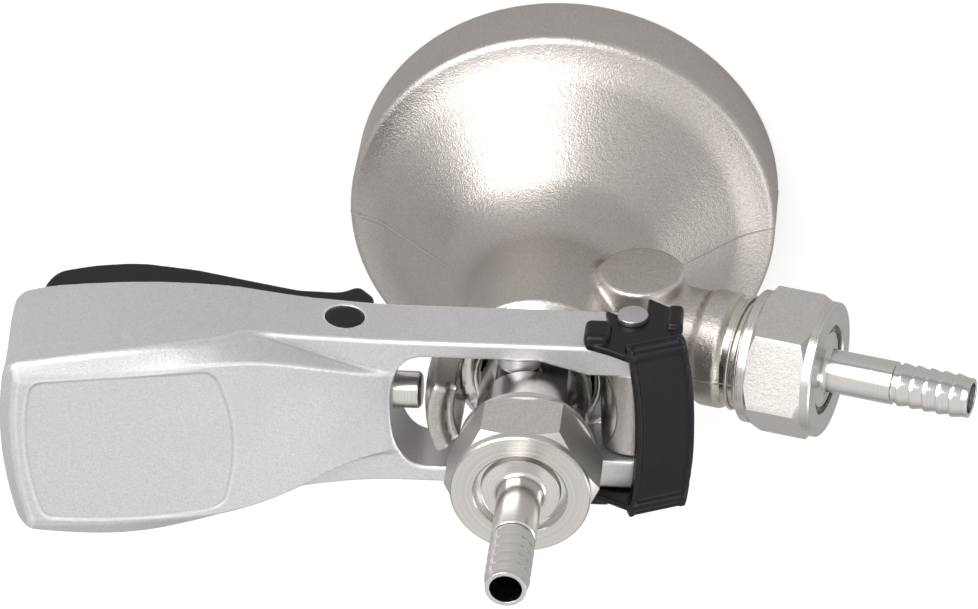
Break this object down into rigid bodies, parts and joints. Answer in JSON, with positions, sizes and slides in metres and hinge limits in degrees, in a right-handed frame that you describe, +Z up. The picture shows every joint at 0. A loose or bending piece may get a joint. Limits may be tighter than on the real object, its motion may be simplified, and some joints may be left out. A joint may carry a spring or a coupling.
{
  "type": "keg coupler",
  "caption": "Keg coupler with a bayonet bell, sliding probe, fork lever with trigger latch, side gas inlet and top beer outlet, each with a hex nut and barbed hose tail.",
  "frame": {"origin": "centre of the bell's mouth, in the plane of its rim, where the keg's neck enters", "axes": "+Z up the probe's axis to the beer outlet, +X over the gas inlet, lever toward -X, hinge pin along Y; rest is the lever down and latched"},
  "size_m": [0.1883, 0.0882, 0.1381],
  "materials": {
    "cast_nickel": "bead-blasted nickel plate",
    "turned_nickel": "turned, polished nickel plate",
    "polished_steel": "turned and polished",
    "pin_steel": "ground",
    "spring_steel": "drawn wire",
    "lever_aluminium": "satin, blasted die casting",
    "black_plastic": "semi-gloss moulded",
    "seal_rubber": "moulded rubber",
    "ball_plastic": "polished",
    "seat_plastic": "moulded"
  },
  "bodies": {
    "coupler": {"body": "cast_nickel", "bell_seal": "seal_rubber", "gas_valve": "seal_rubber", "gas_valve_seat": "seat_plastic", "gas_washer": "seal_rubber", "gas_tail": "turned_nickel", "gas_nut": "turned_nickel"},
    "probe": {"probe": "polished_steel", "probe_ring_lower": "seal_rubber", "probe_ring_upper": "seal_rubber", "tip_seal": "seal_rubber", "ball_retainer": "seat_plastic", "beer_washer": "seal_rubber", "beer_tail": "turned_nickel", "beer_nut": "turned_nickel"},
    "ball": {"check_ball": "ball_plastic"},
    "lever": {"lever": "lever_aluminium", "hinge_pin": "pin_steel", "pin_clip": "black_plastic", "trigger_spring": "spring_steel", "plunger_spring": "spring_steel"},
    "trigger": {"trigger": "black_plastic"},
    "plunger": {"plunger": "polished_steel", "plunger_tab": "pin_steel"}
  },
  "joints": [
    {"name": "lever_swing", "type": "hinge", "parent": "coupler", "child": "lever", "pos_m": [0.01935, 0, 0.076], "axis": [0, 1, 0], "range_deg": [0, 32]},
    {"name": "probe_slide", "type": "slide", "parent": "coupler", "child": "probe", "axis": [0, 0, 1], "range_m": [0, 0.0112]},
    {"name": "ball_lift", "type": "slide", "parent": "probe", "child": "ball", "axis": [0, 0, 1], "range_m": [0, 0.0055]},
    {"name": "trigger_pull", "type": "hinge", "parent": "lever", "child": "trigger", "pos_m": [-0.0369, 0, 0.0764], "axis": [0, 1, 0], "range_deg": [0, 12], "stiffness_Nm_per_rad": 0.3, "springref_deg": -17.19, "deforming": ["trigger_spring"]},
    {"name": "plunger_slide", "type": "slide", "parent": "lever", "child": "plunger", "axis": [-1, 0, 0], "range_m": [0, 0.0022], "deforming": ["plunger_spring"]}
  ],
  "couplings": [
    {"joint": "probe_slide", "follows": "lever_swing", "m_per_rad": 0.0199},
    {"joint": "plunger_slide", "follows": "trigger_pull", "m_per_rad": 0.01}
  ]
}
